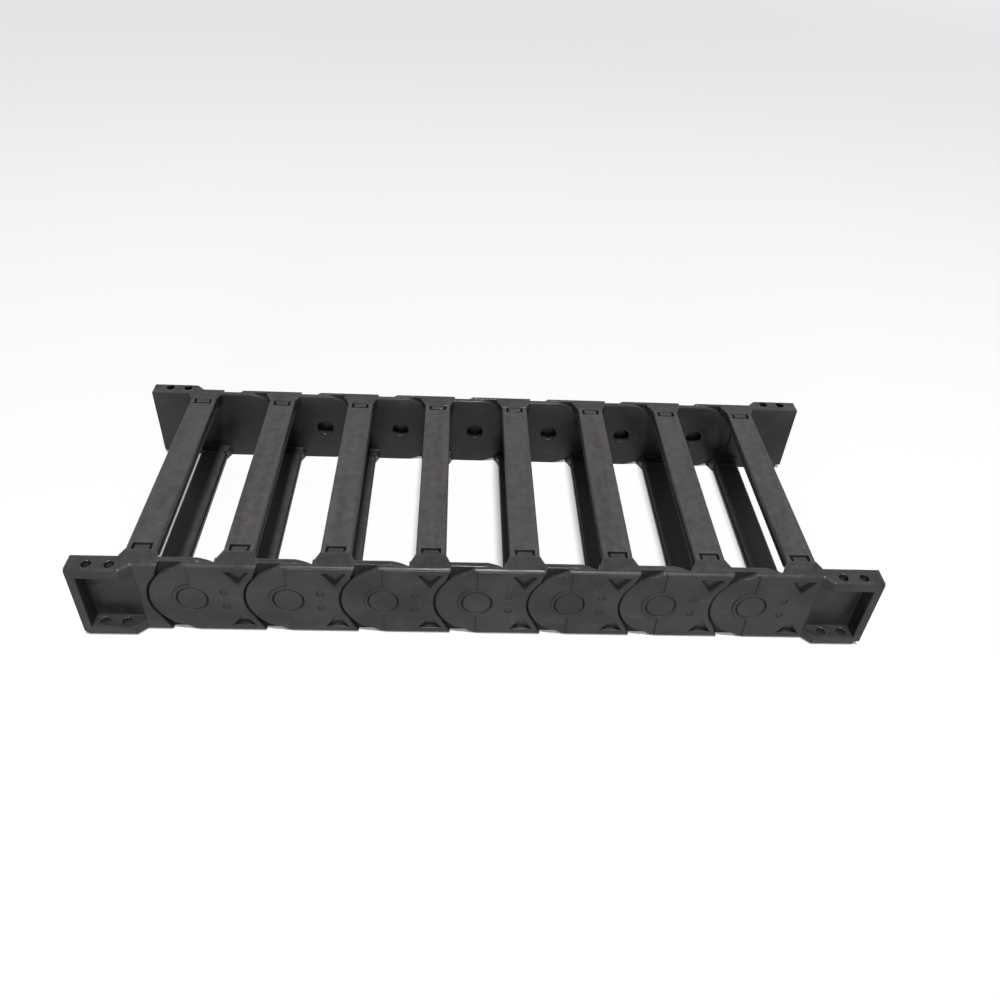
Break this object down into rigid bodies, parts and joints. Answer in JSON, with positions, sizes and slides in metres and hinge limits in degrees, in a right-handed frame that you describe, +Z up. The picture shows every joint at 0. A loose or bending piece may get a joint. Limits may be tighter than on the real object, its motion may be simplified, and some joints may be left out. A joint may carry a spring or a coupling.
{
  "type": "cable drag chain",
  "caption": "Open-frame nylon cable drag chain with clip-in crossbars, hinged side plates and a mounting bracket at each end.",
  "frame": {"origin": "bottom centre of the straight chain's box, on the surface that it lies on", "axes": "+X along the chain from the fixed end to the moving end, +Y across it from the front band to the rear band, +Z up, the way it bends"},
  "size_m": [0.561, 0.229, 0.064],
  "materials": {
    "side_plate_nylon": "satin glass-filled nylon, near black, slightly bluish, light dust on upward faces",
    "crossbar_nylon": "satin glass-filled nylon, dark warm grey, evenly dusted"
  },
  "bodies": {
    "fixed_end": {"fixed_end_front_plate": "side_plate_nylon", "fixed_end_rear_plate": "side_plate_nylon", "fixed_end_top_bar": "crossbar_nylon", "fixed_end_bottom_bar": "crossbar_nylon"},
    "link_1": {"link_1_front_plate": "side_plate_nylon", "link_1_rear_plate": "side_plate_nylon", "link_1_top_bar": "crossbar_nylon", "link_1_bottom_bar": "crossbar_nylon"},
    "link_2": {"link_2_front_plate": "side_plate_nylon", "link_2_rear_plate": "side_plate_nylon", "link_2_top_bar": "crossbar_nylon", "link_2_bottom_bar": "crossbar_nylon"},
    "link_3": {"link_3_front_plate": "side_plate_nylon", "link_3_rear_plate": "side_plate_nylon", "link_3_top_bar": "crossbar_nylon", "link_3_bottom_bar": "crossbar_nylon"},
    "link_4": {"link_4_front_plate": "side_plate_nylon", "link_4_rear_plate": "side_plate_nylon", "link_4_top_bar": "crossbar_nylon", "link_4_bottom_bar": "crossbar_nylon"},
    "link_5": {"link_5_front_plate": "side_plate_nylon", "link_5_rear_plate": "side_plate_nylon", "link_5_top_bar": "crossbar_nylon", "link_5_bottom_bar": "crossbar_nylon"},
    "link_6": {"link_6_front_plate": "side_plate_nylon", "link_6_rear_plate": "side_plate_nylon", "link_6_top_bar": "crossbar_nylon", "link_6_bottom_bar": "crossbar_nylon"},
    "moving_end": {"moving_end_front_plate": "side_plate_nylon", "moving_end_rear_plate": "side_plate_nylon", "moving_end_top_bar": "crossbar_nylon", "moving_end_bottom_bar": "crossbar_nylon"}
  },
  "joints": [
    {"name": "hinge_1", "type": "hinge", "parent": "fixed_end", "child": "link_1", "pos_m": [-0.2025, 0, 0.032], "axis": [0, -1, 0], "range_deg": [0, 25.4]},
    {"name": "hinge_2", "type": "hinge", "parent": "link_1", "child": "link_2", "pos_m": [-0.1365, 0, 0.032], "axis": [0, -1, 0], "range_deg": [0, 25.4]},
    {"name": "hinge_3", "type": "hinge", "parent": "link_2", "child": "link_3", "pos_m": [-0.0705, 0, 0.032], "axis": [0, -1, 0], "range_deg": [0, 25.4]},
    {"name": "hinge_4", "type": "hinge", "parent": "link_3", "child": "link_4", "pos_m": [-0.0045, 0, 0.032], "axis": [0, -1, 0], "range_deg": [0, 25.4]},
    {"name": "hinge_5", "type": "hinge", "parent": "link_4", "child": "link_5", "pos_m": [0.0615, 0, 0.032], "axis": [0, -1, 0], "range_deg": [0, 25.4]},
    {"name": "hinge_6", "type": "hinge", "parent": "link_5", "child": "link_6", "pos_m": [0.1275, 0, 0.032], "axis": [0, -1, 0], "range_deg": [0, 25.4]},
    {"name": "hinge_7", "type": "hinge", "parent": "link_6", "child": "moving_end", "pos_m": [0.1935, 0, 0.032], "axis": [0, -1, 0], "range_deg": [0, 25.4]}
  ]
}
